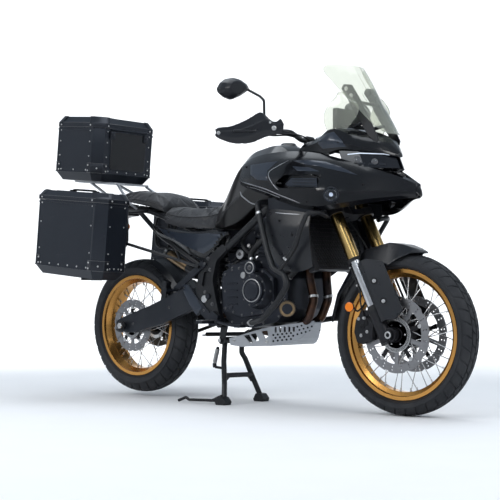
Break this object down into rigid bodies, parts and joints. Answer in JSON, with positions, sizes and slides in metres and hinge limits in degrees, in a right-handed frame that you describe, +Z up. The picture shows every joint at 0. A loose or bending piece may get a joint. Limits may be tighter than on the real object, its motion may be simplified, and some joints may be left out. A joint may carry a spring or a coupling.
{
  "type": "adventure motorcycle",
  "caption": "Adventure motorcycle on its centre stand with wire-spoked wheels, tall screen, crash bars and hard side and top luggage cases.",
  "frame": {"origin": "on the floor under the middle of the whole length and width", "axes": "+X forward along the machine, +Y to the rider's left, +Z up"},
  "size_m": [2.3125, 1.0476, 1.45],
  "materials": {
    "tyre": "road tread rubber",
    "gold_rim": "gold anodised, satin",
    "wheel_steel": "bright wire spokes and machined hub",
    "disc_steel": "ground stainless",
    "gold_fork": "gold anodised, polished",
    "dark_cast": "dark painted casting",
    "frame_paint": "satin black",
    "alloy": "satin alloy",
    "engine_metal": "dark grey cast",
    "body_paint": "gloss black",
    "tank_paint": "gloss black",
    "trim_plastic": "textured black",
    "seat_cover": "black vinyl",
    "case_metal": "satin black powder coat",
    "brushed_plate": "brushed",
    "exhaust_steel": "heat-tinted steel",
    "screen": "clear tinted screen",
    "lamp_lens": "clear lens",
    "red_lens": "red lens",
    "chain_steel": "oiled steel"
  },
  "bodies": {
    "chassis": {"main_frame": "frame_paint", "subframe": "frame_paint", "swingarm": "alloy", "drive_chain": "chain_steel", "rear_shock": "frame_paint", "foot_rests": "alloy", "stand_brackets": "frame_paint", "prop_bracket": "frame_paint", "engine_block": "engine_metal", "engine_covers": "engine_metal", "radiator": "dark_cast", "radiator_shrouds": "trim_plastic", "exhaust_pipes": "exhaust_steel", "silencer": "exhaust_steel", "bash_plate": "brushed_plate", "crash_bars": "frame_paint", "fuel_tank": "tank_paint", "rider_seat": "seat_cover", "pillion_seat": "seat_cover", "side_panels": "body_paint", "side_fairings": "body_paint", "nose_cowl": "body_paint", "headlamps": "lamp_lens", "windscreen": "screen", "instrument_mount": "trim_plastic", "rear_hugger": "trim_plastic", "tail_hanger": "trim_plastic", "tail_lamp": "red_lens", "pannier_cases": "case_metal", "top_case": "case_metal", "luggage_rack": "brushed_plate", "pannier_frames": "frame_paint"},
    "steering": {"fork_uppers": "gold_fork", "fork_lowers": "dark_cast", "fork_clamps": "dark_cast", "handlebar": "frame_paint", "controls": "trim_plastic", "hand_guards": "trim_plastic", "mirrors": "trim_plastic", "front_mudguard": "trim_plastic", "fork_guards": "trim_plastic", "front_calipers": "dark_cast"},
    "front_wheel": {"front_tyre": "tyre", "front_rim": "gold_rim", "front_hub": "wheel_steel", "front_discs": "disc_steel"},
    "rear_wheel": {"rear_tyre": "tyre", "rear_rim": "gold_rim", "rear_hub": "wheel_steel", "rear_disc": "disc_steel", "rear_sprocket": "chain_steel"},
    "centre_stand": {"centre_stand": "frame_paint"},
    "side_stand": {"side_stand": "frame_paint"},
    "pannier_lid_left": {"pannier_lid_left": "case_metal"},
    "pannier_lid_right": {"pannier_lid_right": "case_metal"},
    "top_case_lid": {"top_case_lid": "case_metal"}
  },
  "joints": [
    {"name": "steering", "type": "hinge", "parent": "chassis", "child": "steering", "pos_m": [0.48881, 0, 0.8793], "axis": [-0.4384, 0, 0.8988], "range_deg": [-35, 35]},
    {"name": "front_wheel_spin", "type": "hinge", "parent": "steering", "child": "front_wheel", "pos_m": [0.8215, 0, 0.3295], "axis": [0, 1, 0], "continuous": true},
    {"name": "rear_wheel_spin", "type": "hinge", "parent": "chassis", "child": "rear_wheel", "pos_m": [-0.6915, 0, 0.341], "axis": [0, 1, 0], "continuous": true},
    {"name": "centre_stand_fold", "type": "hinge", "parent": "chassis", "child": "centre_stand", "pos_m": [-0.0915, 0, 0.285], "axis": [0, 1, 0], "range_deg": [0, 80]},
    {"name": "side_stand_swing", "type": "hinge", "parent": "chassis", "child": "side_stand", "pos_m": [-0.1715, 0.168, 0.305], "axis": [0.017, 0.9351, 0.354], "range_deg": [-100, 0]},
    {"name": "pannier_lid_left", "type": "hinge", "parent": "chassis", "child": "pannier_lid_left", "pos_m": [-0.71216, 0.273, 0.91896], "axis": [0.9954, 0, -0.0958], "range_deg": [0, 95]},
    {"name": "pannier_lid_right", "type": "hinge", "parent": "chassis", "child": "pannier_lid_right", "pos_m": [-0.71216, -0.273, 0.91896], "axis": [-0.9954, 0, 0.0958], "range_deg": [0, 95]},
    {"name": "top_case_lid", "type": "hinge", "parent": "chassis", "child": "top_case_lid", "pos_m": [-0.80698, 0, 1.29363], "axis": [0, 1, 0], "range_deg": [0, 95]}
  ]
}
